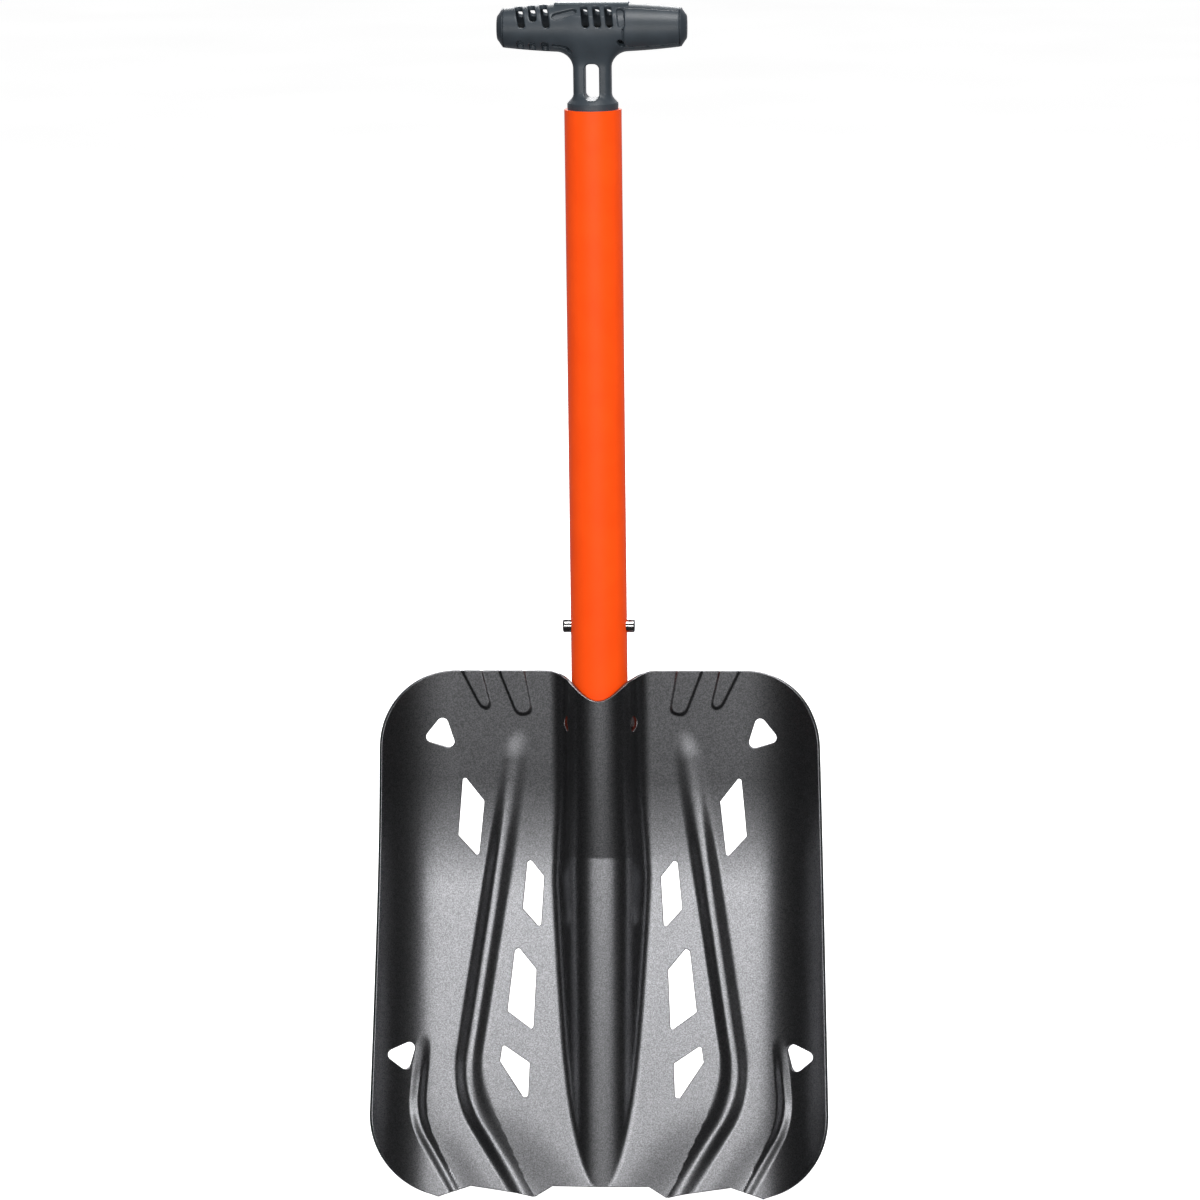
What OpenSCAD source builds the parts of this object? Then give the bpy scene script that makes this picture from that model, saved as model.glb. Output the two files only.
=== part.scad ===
// Avalanche shovel: a pressed aluminium blade, a socket for one round shaft
// with two snap buttons, and a moulded T-grip.
// Frame: +Z up along the shaft, -Y towards the scoop side, +X to the right as
// seen from the scoop side. The origin is under the middle of the shovel, at
// the height of the blade's tooth tips.

/* [Blade] */
// Width across the blade's side edges
blade_w = 242; // [200:1:300]
// Height of the blade, from the tooth tips to the top edge
blade_h = 282; // [250:1:345]
// Thickness of the blade's sheet
sheet_t = 2; // [1.5:0.1:2.5]
// Angle between the lower blade and the shaft
lift = 13; // [8:0.5:16]
// Height at which the blade starts to bend back towards the shaft's direction
bend_low = 156; // [140:1:170]
// Height over which the blade bends
bend_span = 67; // [50:1:80]
// How far the lower blade's curve brings the cutting edge forward
toe_rise = 7.5; // [2:0.5:10]
// Width of each side wall, from where it starts to curl forward
wall_w = 46; // [30:1:55]
// Radius of the side walls' curl
curl_r = 55; // [50:1:80]

/* [Gutter and ribs] */
// Distance of the shaft's axis in front of the upper blade
axis_stand = 8.5; // [6:0.5:12]
// Height of the socket's lower end, where the gutter starts to sink
seat_low = 182; // [175:1:195]
// Radius of the lower gutter's crest
crest_r = 20; // [16:0.5:24]
// Slope of the lower gutter's walls
crest_wall = 62; // [45:1:70]
// Slope of the socket's walls
seat_wall = 78; // [70:1:80]
// Radius at the foot of the lower gutter
foot_r = 4; // [2:0.5:6]
// Radius at the foot of the socket
seat_foot_r = 7; // [4:0.5:9]
// Depth of the dip in the top edge, where the shaft goes in
dip_h = 16.7; // [8:0.1:20]
// Height of the large ribs
rib_h = 3.4; // [2:0.2:6]
// Radius of the large ribs' crest
rib_r = 10; // [6:0.5:14]
// Height of the small ribs
small_rib_h = 2.4; // [1:0.2:4]
// Radius of the small ribs' crest
small_rib_r = 3.5; // [2.5:0.5:6]

/* [Socket bracket] */
// Thickness of the bracket behind the socket
bracket_t = 2.5; // [2:0.5:4]
// Width across the bracket's flanges
bracket_w = 76; // [66:1:90]
// Height of the bracket's flanges above the bend
bracket_h = 44; // [34:1:50]
// Leg of the weld beads along the flanges
bead_leg = 2.2; // [1.5:0.1:2.5]

/* [Shaft] */
// Outer diameter of the shaft's tube
shaft_d = 30; // [26:0.5:32]
// Wall of the shaft's tube
shaft_wall = 1.5; // [1.2:0.1:2]
// Length of the shaft's tube
shaft_l = 345; // [300:1:450]
// Length of tube below the dip's lowest point, as it stands
inserted = 32.4; // [25:0.2:50]
// Gap between the shaft's tube and the socket all round
socket_gap = 0.5; // [0.4:0.1:0.8]
// Length of the plug in the tube's lower end
plug_l = 14; // [8:1:25]

/* [Snap buttons] */
// Diameter of the snap buttons
button_d = 7.3; // [6:0.1:8]
// Height of the buttons above the tube's lower end
button_up = 70; // [62:1:85]
// How far a button stands out of the tube
button_out = 4.2; // [3:0.1:5]
// Radial clearance of the buttons in the tube's wall
button_gap = 0.1; // [0.05:0.05:0.2]
// Thickness of the snap spring's strip
strip_t = 0.8; // [0.6:0.1:1]
// Width of the snap spring's strip
strip_w = 8; // [6:0.5:10]

/* [Grip] */
// Width of the T-grip
grip_w = 99; // [90:1:130]
// Diameter of the grip at its middle
grip_d = 26; // [24:0.5:34]
// Diameter of the grip beside its end caps
grip_end_d = 20.6; // [18:0.2:22]
// Wall of the hollow grip
grip_wall = 2.6; // [2:0.1:4]
// Length of each end cap outside the grip
cap_l = 3.6; // [2:0.2:6]
// Diameter of the flat end of each cap
cap_face_d = 12; // [10:0.5:16]
// Width of the grip's neck
neck_w = 19.8; // [16:0.2:24]
// Depth of the grip's neck
neck_t = 15; // [12:0.5:20]
// Height from the tube's top end to the grip's axis
grip_rise = 42.6; // [36:0.2:60]
// Width of the slot through the neck
slot_w = 7.4; // [5:0.2:9]
// Height of the slot through the neck
slot_h = 18.6; // [12:0.2:20]
// Length of the grip's spigot inside the tube
spigot_l = 40; // [30:1:60]
// Radial gap between the spigot and the tube
spigot_gap = 0.15; // [0.1:0.05:0.3]
// Diameter of the rivet that holds the spigot
rivet_d = 4.8; // [4:0.2:6]
// Depth of the rivet below the tube's top end
rivet_down = 24; // [16:1:36]

/* [Hidden] */
$fn = 64;

// The hole, tooth and rib pattern is drawn on a blade of this size, as
// [distance from the centre line, height above the tooth tips], and follows
// the blade's real size.
pattern_w = 242;
pattern_h = 281;
function on_blade(p) = [p[0] * blade_w / pattern_w, p[1] * blade_h / pattern_h];

// Bend of the blade: radius, and the height and rise where it ends
bend_r = bend_span / sin(lift);
bend_top = bend_low + bend_span;
bend_rise = bend_r * (1 - cos(lift));

// Socket: inner radius, and the gutter's outer radius over the shaft
socket_r = shaft_d / 2 + socket_gap;
seat_r = socket_r + sheet_t;

// Outer tooth's tip on the pattern, the blade's lowest point
tooth_tip = [87, 0];

// The blade's own frame is tilted by the lift angle: its height runs up the
// lower blade and its rise runs forward, square to it. The shaft's axis lies
// shaft_y behind the origin, which puts the origin at mid-depth.
shaft_y = 17.9;
blade_y = shaft_y + axis_stand - bend_top * sin(lift) + bend_rise * cos(lift);
blade_z = (sheet_t - toe_rise - curl_rise(on_blade(tooth_tip)[0])) * sin(lift);

// Rise of the shaft's axis at height s, and of the gutter's crest
function axis_rise(s) = s * tan(lift) - (shaft_y - blade_y) / cos(lift);
seat_crest = axis_rise(seat_low) + seat_r / cos(lift);
toe_crest = toe_rise - 0.7;
// Length over which the lower gutter's section turns into the socket's
gutter_turn = 22;

// Heights along the shaft's axis: the socket's lower end, the dip's lowest
// point, the tube's two ends, the buttons as they stand and when locked
seat_z = blade_z + (seat_low - (shaft_y - shaft_d / 2 - blade_y) * sin(lift)) / cos(lift);
dip_z = blade_z + (blade_h - dip_h - (shaft_y - seat_r - blade_y) * sin(lift)) / cos(lift);
tube_low = dip_z - inserted;
tube_top = tube_low + shaft_l;
button_z = tube_low + button_up;
lock_z = seat_z + button_up;
lock_hole_r = button_d / 2 + 0.4;
lock_reach = seat_r + 12;

// Socket bracket
join_gap = 0.05;
flange_low = seat_low + 2;
flange_round = 8;
flange_top = bend_top + bracket_h;
bead_end = 3;
bead_low = blade_z + bend_top * cos(lift) + (bend_rise - sheet_t) * sin(lift) + bead_end;
bead_l = bracket_h - 10;
// The socket's lower end narrows to a flat bottom
socket_end_r = 7;
socket_end_l = 13;
socket_shoulder = 6;

// Shaft and the plug in its lower end
bore_r = shaft_d / 2 - shaft_wall;
plug_lip = 1.5;
plug_wall = 2.5;

// Snap buttons: the head inside the tube and the spring's legs behind it
head_r = button_d / 2 + 1.7;
head_t = 1.2;
head_gap = 0.08;
head_x = sqrt(pow(bore_r - head_gap, 2) - head_r * head_r) - head_t;
button_edge_r = 1;
leg_x = head_x - strip_t / 2;
leg_rise = 40;
leg_over = 8;
spring_bend_r = 4.5;

// Grip
grip_z = tube_top + grip_rise;
barrel_l = grip_w - 2 * cap_l;
grip_sag = (grip_d - grip_end_d) / 2;
grip_arc_r = (barrel_l * barrel_l / 4 + grip_sag * grip_sag) / (2 * grip_sag);
spigot_r = bore_r - spigot_gap;
spigot_wall = 3;
collar_h = 3;
collar_cone = 4.9;
neck_low = 5.4;
neck_fillet = 9;
fillet_z = grip_rise - grip_d / 2 - neck_fillet + 1;
slot_mid = 14.7;
cap_plug = 6;
cap_edge = [0.6, 0.5];
plate_l = 39;
plate_w = 9;
plate_floor = grip_d / 2 - 1.3;
plate_proud = 0.3;
grip_slot_w = 3.6;
// Slots in the grip: place, and lower and upper angle above the front
grip_slots = concat(
    [for (x = [-37, -24]) each [[x, 3, 70], [x, -75, -38], [x, 110, 144]]],
    [[-30.6, 20, 70], [-30.6, -75, -42], [-30.6, 110, 144]],
    [for (x = [-3, 3.2, 9.4]) each [[x, 4, 58], [x, 122, 146]]]
);
rivet_head_h = 1.4;
rivet_head_r = 6;
rivet_inside = 4;

function clamp(v, low, high) = min(max(v, low), high);
function ease(t) = let (u = clamp(t, 0, 1)) u * u * (3 - 2 * u);
function round_max(a, b, k) =
    max(a, b) + pow(max(k - abs(a - b), 0), 2) / (4 * k);

// Height profile across a pressed ridge: a round crest of radius r, walls no
// steeper than wall, and a foot of radius f that runs out at rise 0
function ridge(x, h, r, wall, f) = h <= 0 ? 0 :
    let (
        a = min(wall, acos(max(1 - h / (r + f), -1))),
        x1 = r * sin(a),
        z1 = h - r * (1 - cos(a)),
        z2 = f * (1 - cos(a)),
        x2 = x1 + (z1 - z2) / tan(a),
        foot = x2 + f * sin(a)
    )
    x < x1 ? h - r + sqrt(r * r - x * x) :
    x < x2 ? z1 - (x - x1) * tan(a) :
    x < foot ? f - sqrt(f * f - pow(foot - x, 2)) : 0;

// Rise of the plain sheet at height s: it curves forward to the cutting edge,
// and above bend_low it bends forward to stand parallel to the shaft
function sheet_rise(s) =
    s < bend_low ? toe_rise * pow(1 - s / bend_low, 2) :
    s < bend_top ? bend_r - sqrt(bend_r * bend_r - pow(s - bend_low, 2)) :
    bend_rise + (s - bend_top) * tan(lift);

// Rise that the side walls add at distance x from the centre line
function curl_rise(x) =
    let (d = clamp(x - blade_w / 2 + wall_w, 0, curl_r * 0.9))
    curl_r - sqrt(curl_r * curl_r - d * d);

// Rise that the gutter adds
function gutter_rise(x, s) =
    let (
        k = ease((s - seat_low) / gutter_turn + 0.3),
        crest = s < seat_low
            ? toe_crest + (seat_crest - toe_crest) * s / seat_low
            : axis_rise(s) + seat_r / cos(lift)
    )
    ridge(x, crest - sheet_rise(s),
          crest_r + (seat_r - crest_r) * k,
          crest_wall + (seat_wall - crest_wall) * k,
          foot_r + (seat_foot_r - foot_r) * k);

// Signed distance outward from the line through a and b, which runs upward
function off_line(p, a, b) =
    let (d = (b - a) / norm(b - a)) (p - a)[0] * d[1] - (p - a)[1] * d[0];

// Distance from a rib's centre line: two straight stretches, from the top
// through the bend to the bottom, with a rounded bend
function off_rib(p, top, bend, low, k) =
    abs(round_max(off_line(p, on_blade(bend), on_blade(top)),
                  off_line(p, on_blade(low), on_blade(bend)), k));

// Rib centre lines on the pattern
rib_top = [44, 254];
rib_bend = [74, 57];
rib_low = [43, 6];
small_rib_top = [95.5, 86];
small_rib_bend = [99.5, 42];
small_rib_low = [79.5, 6];
// Length over which a rib rises from its tip
rib_tip = 34;
small_rib_tip = 16;

function fade(s, tip, span) = ease((tip * blade_h / pattern_h - s) / span);
function rib_rise(x, s) =
    ridge(off_rib([x, s], rib_top, rib_bend, rib_low, 14),
          rib_h * fade(s, rib_top[1], rib_tip) * (0.35 + 0.65 * ease(s / 45)),
          rib_r, 60, 1.5) +
    ridge(off_rib([x, s], small_rib_top, small_rib_bend, small_rib_low, 8),
          small_rib_h * fade(s, small_rib_top[1], small_rib_tip),
          small_rib_r, 60, 1);

// Front surface of the blade in its own frame, and its unit normal
function rise(x, s) =
    sheet_rise(s) + curl_rise(abs(x)) + gutter_rise(abs(x), s) +
    rib_rise(abs(x), s);
probe = 0.2;
function sheet_normal(x, s) =
    let (
        n = [(rise(x - probe, s) - rise(x + probe, s)) / (2 * probe),
             (rise(x, s - probe) - rise(x, s + probe)) / (2 * probe), 1]
    )
    n / norm(n);

// From the blade's own frame to the part's frame
module in_blade_frame() {
    translate([0, blade_y, blade_z]) rotate([90 - lift, 0, 0]) children();
}

// Superellipse corner from [0, h] round to [w, 0], as unit steps
corner_power = 2.1;
function corner(w, h, steps, power = 2) = [
    for (i = [0 : steps])
        let (a = 90 - 90 * i / steps)
        [w * pow(cos(a), 2 / power), h * pow(sin(a), 2 / power)]
];

// Half outline of the blade on the pattern, from the bottom centre round to
// the top centre: teeth, lower corner, side, upper corner and dip
tooth_line = [[0, 5.5], [25.8, 6], [35, 0.4], [69.8, 5.8], tooth_tip];
low_corner = [81, 45];
high_corner = [77, 238];
high_side = 116.5;
dip_w = 30;
half_outline = concat(
    [for (p = tooth_line) on_blade(p)],
    [for (p = corner(pattern_w / 2 - low_corner[0], low_corner[1], 12))
        if (p[0] > 10)
            on_blade([low_corner[0] + p[0], low_corner[1] - p[1]])],
    [for (i = [12 : -1 : 0])
        let (p = corner(high_side - high_corner[0],
                        pattern_h - high_corner[1], 12, corner_power)[i])
        on_blade(high_corner + p)],
    [for (i = [0 : 12])
        let (t = 1 - i / 12)
        [dip_w * t, blade_h - dip_h * pow(0.5 + 0.5 * cos(180 * t), 1.2)]]
);
module mirror_copy() {
    children();
    mirror([1, 0, 0]) children();
}
module blade_outline() {
    polygon(concat(half_outline,
                   [for (i = [len(half_outline) - 1 : -1 : 0])
                       [-half_outline[i][0], half_outline[i][1]]]));
}

// Cut-outs on the right half of the pattern
corner_holes = [
    [[84, 259], [96, 244], [77.5, 238.5]],
    [[98.5, 84.6], [116, 76.8], [103, 65.6]]
];
corner_hole_round = 3;
cutouts = [
    [[73.5, 224], [63.5, 211.4], [66.8, 181], [77.7, 192.8], [75, 223]],
    [[38.5, 179.8], [31.5, 171], [33.2, 143], [43, 153.8], [40.5, 178.8]],
    [[45, 132.8], [35.5, 121.3], [37, 88.6], [51, 98.8], [47.2, 131.3]],
    [[53.5, 81.2], [38.8, 71.3], [39.5, 53.2], [42.3, 53.2], [54.8, 72]]
];
cutout_round = 1.2;

// An outline with each corner rounded to radius r
round_steps = 4;
function rounded(points, r) = [
    for (i = [0 : len(points) - 1])
        let (
            p = points[i],
            a = points[(i + len(points) - 1) % len(points)] - p,
            b = points[(i + 1) % len(points)] - p,
            u = a / norm(a),
            v = b / norm(b),
            half = acos(u * v) / 2,
            mid = (u + v) / norm(u + v),
            centre = p + mid * r / sin(half),
            start = atan2(u[1] * (r / tan(half)) - mid[1] * r / sin(half),
                          u[0] * (r / tan(half)) - mid[0] * r / sin(half)),
            turn = (180 - 2 * half) * (u[0] * v[1] - u[1] * v[0] > 0 ? -1 : 1)
        )
        for (k = [0 : round_steps])
            centre + r * [cos(start + turn * k / round_steps),
                          sin(start + turn * k / round_steps)]
];
module cutout_pattern() {
    for (c = cutouts)
        polygon(rounded([for (p = c) on_blade(p)], cutout_round));
    for (c = corner_holes)
        polygon(rounded([for (p = c) on_blade(p)], corner_hole_round));
}

// Sheet grid: columns closest together at the gutter's walls
columns_half = concat(
    [0, 4.5, 8.5, 11.5, 14, 15.8, 17, 18, 19.5, 21.5, 23.5, 26],
    [for (i = [1 : 13]) 26 + (blade_w / 2 - wall_w - 26) * i / 13],
    [for (i = [1 : 7]) blade_w / 2 - wall_w + (wall_w + 1.5) * i / 7]
);
columns = concat([for (i = [len(columns_half) - 1 : -1 : 1]) -columns_half[i]],
                 columns_half);
row_count = 42;
rows = [for (j = [0 : row_count]) -2 + (blade_h + 4) * j / row_count];
nc = len(columns);
nr = len(rows);
front_points = [for (s = rows, x = columns) [x, s, rise(x, s)]];
back_points = [for (s = rows, x = columns)
    [x, s, rise(x, s)] - sheet_t * sheet_normal(x, s)];
function at(i, j) = j * nc + i;
function under(i, j) = nr * nc + at(i, j);
sheet_faces = concat(
    [for (j = [0 : nr - 2], i = [0 : nc - 2]) each [
        [at(i, j), at(i + 1, j + 1), at(i + 1, j)],
        [at(i, j), at(i, j + 1), at(i + 1, j + 1)],
        [under(i, j), under(i + 1, j), under(i + 1, j + 1)],
        [under(i, j), under(i + 1, j + 1), under(i, j + 1)]]],
    [for (i = [0 : nc - 2]) each [
        [at(i, 0), at(i + 1, 0), under(i + 1, 0)],
        [at(i, 0), under(i + 1, 0), under(i, 0)],
        [at(i, nr - 1), under(i + 1, nr - 1), at(i + 1, nr - 1)],
        [at(i, nr - 1), under(i, nr - 1), under(i + 1, nr - 1)]]],
    [for (j = [0 : nr - 2]) each [
        [at(0, j), under(0, j), under(0, j + 1)],
        [at(0, j), under(0, j + 1), at(0, j + 1)],
        [at(nc - 1, j), under(nc - 1, j + 1), under(nc - 1, j)],
        [at(nc - 1, j), at(nc - 1, j + 1), under(nc - 1, j + 1)]]]
);
module blade() {
    color("dimgray")
    difference() {
        in_blade_frame()
        intersection() {
            polyhedron(concat(front_points, back_points), sheet_faces, 4);
            translate([0, 0, -20])
            linear_extrude(100)
            difference() {
                blade_outline();
                mirror_copy() cutout_pattern();
            }
        }
        along_x(lock_z, lock_reach) cylinder(r = lock_hole_r, h = 2 * lock_reach);
    }
}

// Runs its children's Z axis along +X, from -reach, through the shaft's axis
module along_x(z, reach) {
    translate([-reach, shaft_y, z]) rotate([0, 90, 0]) children();
}

// Profile of the sheet's back between two heights, set back by d
profile_steps = 8;
function back_line(low, high, d) = [
    for (i = [0 : profile_steps])
        let (
            s = low + (high - low) * i / profile_steps,
            slope = (sheet_rise(s + probe) - sheet_rise(s - probe)) / (2 * probe),
            n = [-slope, 1] / norm([slope, 1])
        )
        [s, sheet_rise(s)] - (sheet_t + d) * n
];
function reversed(list) = [for (i = [len(list) - 1 : -1 : 0]) list[i]];

// Extrudes an outline in [height, rise] across the blade, width w
module across_blade(w) {
    in_blade_frame()
    translate([-w / 2, 0, 0])
    rotate([90, 0, 90])
    linear_extrude(w)
    children();
}

// Space inside the socket grown by g, from its narrowed lower end upward
module socket_space(g) {
    translate([0, shaft_y, seat_z])
    rotate_extrude()
    polygon([[0, -socket_end_l - g], [socket_end_r + g, -socket_end_l - g],
             [socket_r + g, -socket_shoulder], [socket_r + g, flange_top],
             [0, flange_top]]);
}
// Flange outline with round corners, seen square to the lower blade
module flange_outline() {
    half = bracket_w / 2;
    in_blade_frame()
    translate([0, 0, -bracket_w])
    linear_extrude(2 * bracket_w)
    polygon(rounded([[-half, flange_low], [half, flange_low],
                     [half, flange_top], [-half, flange_top]], flange_round));
}
module socket_bracket() {
    socket_low = flange_low - 2 * socket_end_l - bracket_t;
    socket_top = flange_top - bracket_t;
    color("gray")
    difference() {
        union() {
            intersection() {
                across_blade(bracket_w)
                polygon(concat(back_line(flange_low, flange_top, join_gap),
                               reversed(back_line(flange_low, flange_top,
                                                  join_gap + bracket_t))));
                flange_outline();
            }
            intersection() {
                socket_space(bracket_t);
                across_blade(bracket_w)
                polygon(concat(back_line(socket_low, socket_top,
                                         join_gap + bracket_t / 2),
                               [[socket_top, -bracket_w], [socket_low, -bracket_w]]));
            }
        }
        socket_space(0);
    }
}

// Fillet weld in the corner between a flange's edge and the blade's back
module weld_bead() {
    color("silver")
    translate([bracket_w / 2, shaft_y + axis_stand + sheet_t, bead_low])
    linear_extrude(bead_l)
    intersection() {
        circle(bead_leg);
        square(bead_leg);
    }
}
module left_weld_bead() {
    mirror([1, 0, 0]) weld_bead();
}
module right_weld_bead() {
    weld_bead();
}

module shaft_tube() {
    color("orangered")
    difference() {
        translate([0, shaft_y, tube_low]) cylinder(d = shaft_d, h = shaft_l);
        translate([0, shaft_y, tube_low - 1]) cylinder(r = bore_r, h = shaft_l + 2);
        along_x(button_z, shaft_d)
        cylinder(d = button_d + 2 * button_gap, h = 2 * shaft_d);
        rivet_axis() cylinder(d = rivet_d + 2 * join_gap, h = shaft_d);
    }
}
// Runs its children's Z axis backward from the shaft's axis at the rivet
module rivet_axis() {
    translate([0, shaft_y, tube_top - rivet_down]) rotate([-90, 0, 0]) children();
}

module tube_end_plug() {
    outer_r = bore_r - join_gap;
    lip_r = shaft_d / 2 - 0.3;
    color("black")
    translate([0, shaft_y, tube_low])
    rotate_extrude()
    polygon([[0, -plug_lip], [lip_r - plug_lip / 2, -plug_lip], [lip_r, -plug_lip / 2],
             [lip_r, 0], [outer_r, 0], [outer_r, plug_l - 1], [outer_r - 1, plug_l],
             [outer_r - plug_wall, plug_l], [outer_r - plug_wall, plug_wall - plug_lip],
             [0, plug_wall - plug_lip]]);
}

// Snap spring: a strip bent to a U, its legs flat against the buttons' heads
function strip_side(d) = concat(
    [for (a = [5 : 17 : 90])
        [(spring_bend_r + d) * sin(a), -(spring_bend_r + d) * cos(a)]],
    [[leg_x + d, leg_rise - leg_over], [leg_x + d, leg_rise + leg_over]]
);
function flipped(points) = [for (p = points) [-p[0], p[1]]];
module snap_spring() {
    outer = strip_side(strip_t / 2);
    inner = strip_side(-strip_t / 2);
    color("silver")
    translate([0, shaft_y + strip_w / 2, button_z - leg_rise])
    rotate([90, 0, 0])
    linear_extrude(strip_w)
    polygon(concat(outer, reversed(inner), flipped(inner), reversed(flipped(outer))));
}

// Snap button: a head that stays inside the tube and a pin with a round edge
module snap_button() {
    tip_x = shaft_d / 2 + button_out;
    color("lightgray")
    along_x(button_z, 0)
    rotate_extrude()
    polygon(concat(
        [[0, head_x], [head_r, head_x], [head_r, head_x + head_t],
         [button_d / 2, head_x + head_t]],
        [for (a = [0 : 15 : 90])
            [button_d / 2 - button_edge_r * (1 - cos(a)),
             tip_x - button_edge_r * (1 - sin(a))]],
        [[0, tip_x]]
    ));
}
module left_button() {
    mirror([1, 0, 0]) snap_button();
}
module right_button() {
    snap_button();
}

// Grip radius at distance x from its middle
function grip_r(x) =
    grip_d / 2 - grip_arc_r + sqrt(grip_arc_r * grip_arc_r - x * x);
function grip_side(inset) = [
    for (i = [-10 : 10])
        let (x = i * barrel_l / 20)
        [grip_r(x) - inset, x]
];
// Runs its children's Z axis along +X through the middle of the grip
module in_grip() {
    translate([0, shaft_y, grip_z]) rotate([0, 90, 0]) children();
}
module barrel(inset) {
    in_grip()
    rotate_extrude()
    polygon(concat([[0, -barrel_l / 2]], grip_side(inset), [[0, barrel_l / 2]]));
}
// Slot through the grip's wall at distance x, over the angles from low to high
// above the front
module grip_slot(x, low, high, w) {
    reach = grip_wall + 3;
    translate([x, shaft_y, grip_z])
    rotate([0, -90, 180])
    rotate([0, 0, 180 - high])
    rotate_extrude(angle = high - low)
    translate([grip_d / 2 - reach, -w / 2])
    square([2 * reach, w]);
}
// Neck seen from the front, with a fillet on each side under the barrel
module neck_outline() {
    wide = neck_w / 2 + neck_fillet;
    difference() {
        translate([-wide, neck_low])
        square([2 * wide, grip_rise - neck_low]);
        mirror_copy()
        translate([wide, fillet_z])
        circle(neck_fillet);
        mirror_copy()
        translate([neck_w / 2, neck_low - 1])
        square([neck_fillet + 1, fillet_z + 1 - neck_low]);
    }
}
// Slot through the neck, with round ends
module neck_slot() {
    translate([0, shaft_y + neck_t, tube_top + slot_mid])
    rotate([90, 0, 0])
    linear_extrude(2 * neck_t) {
        square([slot_w, slot_h - slot_w], center = true);
        for (z = [-1, 1])
            translate([0, z * (slot_h - slot_w) / 2]) circle(slot_w / 2);
    }
}
module grip_body() {
    color("darkslategray")
    difference() {
        union() {
            barrel(0);
            translate([0, shaft_y + neck_t / 2, tube_top])
            rotate([90, 0, 0])
            linear_extrude(neck_t)
            neck_outline();
            translate([0, shaft_y, tube_top - spigot_l])
            cylinder(r = spigot_r, h = spigot_l + collar_h);
            translate([0, shaft_y, tube_top + collar_h])
            cylinder(r1 = spigot_r, r2 = neck_t / 2, h = collar_cone);
        }
        barrel(grip_wall);
        translate([0, shaft_y, tube_top - spigot_l - 1])
        cylinder(r = spigot_r - spigot_wall, h = spigot_l - 1);
        neck_slot();
        rivet_axis() cylinder(d = rivet_d + 2 * join_gap, h = shaft_d);
        for (s = grip_slots)
            grip_slot(s[0], s[1], s[2], grip_slot_w);
        translate([-plate_l / 2, shaft_y - plate_w / 2, grip_z + plate_floor])
        cube([plate_l, plate_w, grip_d]);
    }
}
module grip_top_plate() {
    color("slategray")
    translate([-plate_l / 2 + join_gap, shaft_y - plate_w / 2 + join_gap,
               grip_z + plate_floor])
    cube([plate_l - 2 * join_gap, plate_w - 2 * join_gap,
          grip_d / 2 + plate_proud - plate_floor]);
}
module grip_cap() {
    end_r = grip_r(barrel_l / 2);
    plug_r = end_r - grip_wall - join_gap;
    joint_x = barrel_l / 2;
    color("slategray")
    in_grip()
    rotate_extrude()
    polygon([[0, joint_x - cap_plug], [plug_r, joint_x - cap_plug], [plug_r, joint_x],
             [end_r, joint_x], [end_r - cap_edge[0], joint_x + cap_edge[1]],
             [cap_face_d / 2, joint_x + cap_l], [0, joint_x + cap_l]]);
}
module left_grip_cap() {
    mirror([1, 0, 0]) grip_cap();
}
module right_grip_cap() {
    grip_cap();
}

// Blind rivet at the back of the tube, with a low round head
module grip_rivet() {
    color("silver")
    rivet_axis() {
        translate([0, 0, spigot_r - rivet_inside])
        cylinder(d = rivet_d, h = shaft_d / 2 - spigot_r + rivet_inside);
        intersection() {
            translate([0, 0, shaft_d / 2 + rivet_head_h - rivet_head_r])
            sphere(rivet_head_r);
            translate([0, 0, shaft_d / 2])
            cylinder(d = 2 * rivet_d, h = 2 * rivet_head_h);
        }
    }
}

blade();
socket_bracket();
left_weld_bead();
right_weld_bead();
shaft_tube();
tube_end_plug();
snap_spring();
left_button();
right_button();
grip_body();
left_grip_cap();
right_grip_cap();
grip_top_plate();
grip_rivet();
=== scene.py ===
"""Avalanche shovel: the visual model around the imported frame.

Shapes are worked out in millimetres, in the frame of the part: +Z up along the
shaft, -Y towards the scoop side. Meshes are written in metres.
"""

from math import cos, pi, radians, sin, tan

import bmesh
import bpy
import numpy as np
from mathutils import Matrix, Vector
from mathutils.geometry import delaunay_2d_cdt


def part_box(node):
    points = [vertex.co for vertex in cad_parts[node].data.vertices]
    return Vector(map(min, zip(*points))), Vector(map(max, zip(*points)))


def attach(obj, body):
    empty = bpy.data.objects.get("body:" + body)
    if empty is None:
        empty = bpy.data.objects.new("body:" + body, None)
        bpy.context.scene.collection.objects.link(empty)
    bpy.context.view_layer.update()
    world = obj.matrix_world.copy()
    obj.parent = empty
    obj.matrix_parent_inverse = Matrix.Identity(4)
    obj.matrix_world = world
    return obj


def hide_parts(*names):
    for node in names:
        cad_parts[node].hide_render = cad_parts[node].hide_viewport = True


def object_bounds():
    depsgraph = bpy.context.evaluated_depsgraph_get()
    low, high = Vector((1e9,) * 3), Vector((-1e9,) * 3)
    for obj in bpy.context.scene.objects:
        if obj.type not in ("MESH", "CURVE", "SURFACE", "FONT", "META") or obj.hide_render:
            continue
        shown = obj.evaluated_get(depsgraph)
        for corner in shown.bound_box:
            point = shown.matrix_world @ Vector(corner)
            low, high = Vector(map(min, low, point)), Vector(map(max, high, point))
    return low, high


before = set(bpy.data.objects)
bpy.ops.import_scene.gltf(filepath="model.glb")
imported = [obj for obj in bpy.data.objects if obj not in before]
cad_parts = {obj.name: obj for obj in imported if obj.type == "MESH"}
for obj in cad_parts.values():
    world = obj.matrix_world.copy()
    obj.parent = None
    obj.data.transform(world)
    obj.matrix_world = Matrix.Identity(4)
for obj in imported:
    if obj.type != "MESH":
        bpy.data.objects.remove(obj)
CAD_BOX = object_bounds()
MM = 0.001


def box_mm(node):
    """Lowest and highest corners of a CAD node, in mm."""
    low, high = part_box(node)
    return np.array(low) / MM, np.array(high) / MM


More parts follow.
